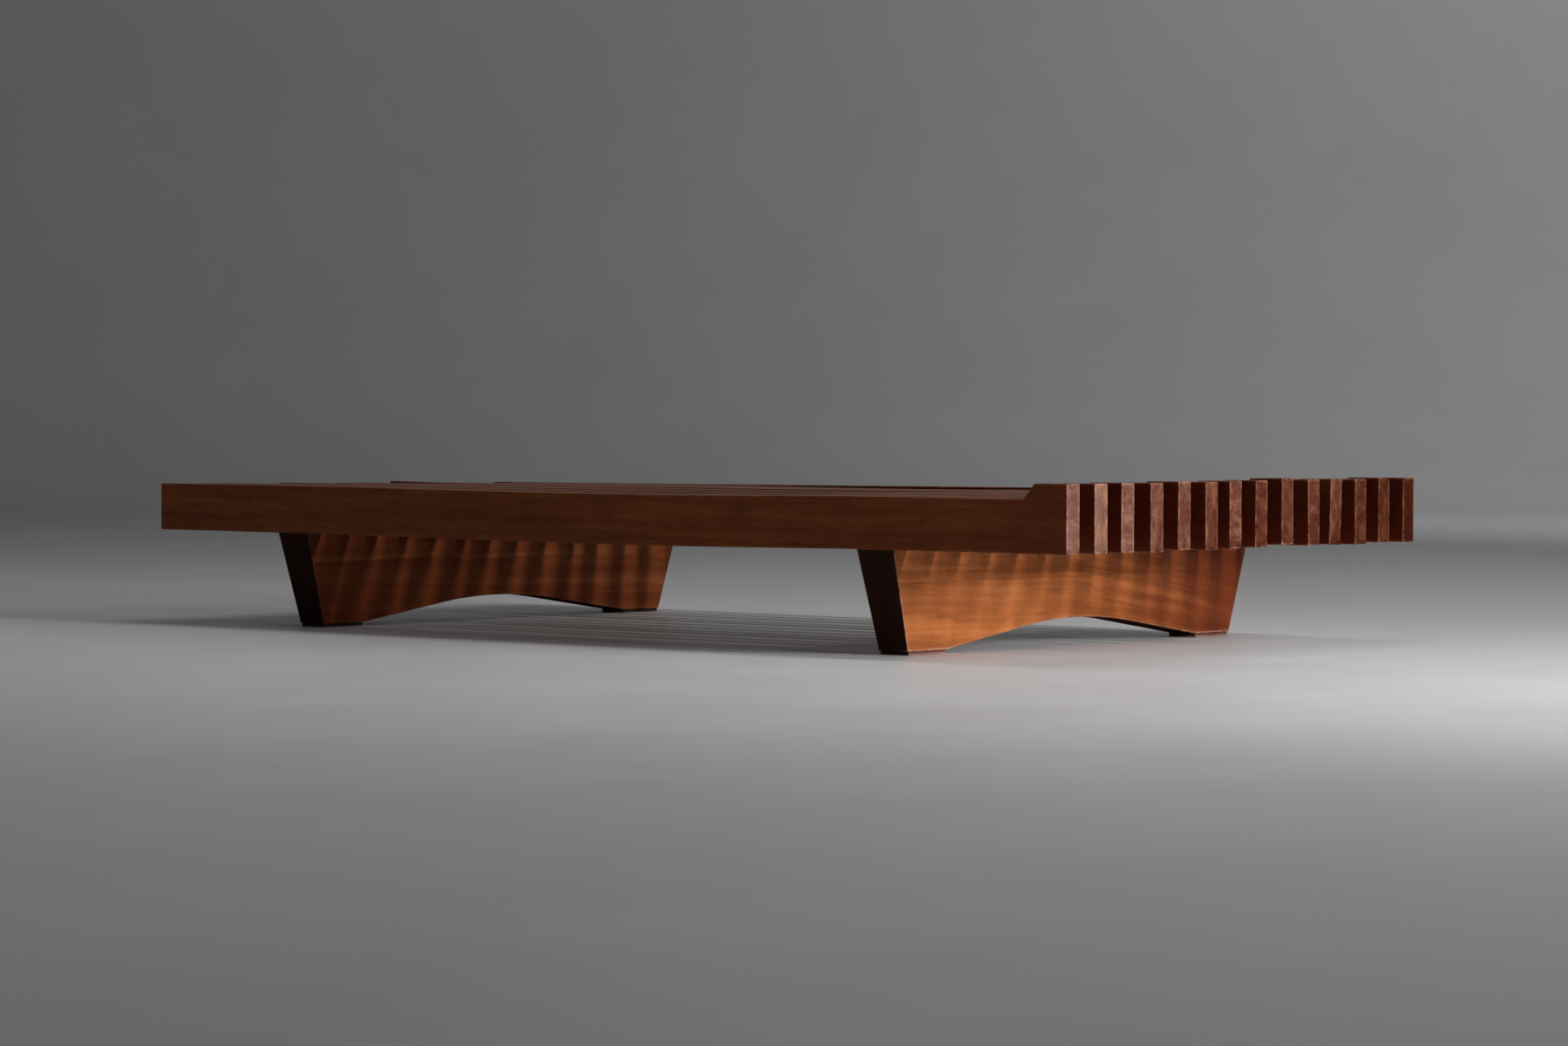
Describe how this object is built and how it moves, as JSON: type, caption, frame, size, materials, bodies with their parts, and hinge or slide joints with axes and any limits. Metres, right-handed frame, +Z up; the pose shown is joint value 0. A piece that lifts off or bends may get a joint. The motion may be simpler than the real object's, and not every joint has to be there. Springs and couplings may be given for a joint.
{
  "type": "slatted daybed",
  "caption": "Low slatted wooden daybed: boards on edge run its full length over two tapered cross legs with arched undersides, and rise into a low lip at the head end.",
  "frame": {"origin": "on the floor, under the middle of the bed's bounding box", "axes": "+X along the slats towards the head end with the lip, +Y across the slats away from the viewer of the picture's near side, +Z up"},
  "size_m": [1.96, 0.932, 0.2665],
  "materials": {
    "slat_wood": "reddish brown hardwood, satin lacquer, straight fine grain",
    "leg_wood": "orange brown hardwood, satin lacquer, horizontal grain",
    "dowel_wood": "pale hardwood, unfinished",
    "foot_pad": "dark red brown, matt, dense"
  },
  "bodies": {
    "root": {"slat_01": "slat_wood", "slat_02": "slat_wood", "slat_03": "slat_wood", "slat_04": "slat_wood", "slat_05": "slat_wood", "slat_06": "slat_wood", "slat_07": "slat_wood", "slat_08": "slat_wood", "slat_09": "slat_wood", "slat_10": "slat_wood", "slat_11": "slat_wood", "slat_12": "slat_wood", "slat_13": "slat_wood", "slat_14": "slat_wood", "head_leg_upper_board": "leg_wood", "head_leg_arch_board": "leg_wood", "head_leg_slat_dowels": "dowel_wood", "head_leg_joint_dowels": "dowel_wood", "head_leg_pad_near": "foot_pad", "head_leg_pad_far": "foot_pad", "foot_leg_upper_board": "leg_wood", "foot_leg_arch_board": "leg_wood", "foot_leg_slat_dowels": "dowel_wood", "foot_leg_joint_dowels": "dowel_wood", "foot_leg_pad_near": "foot_pad", "foot_leg_pad_far": "foot_pad"}
  },
  "joints": []
}
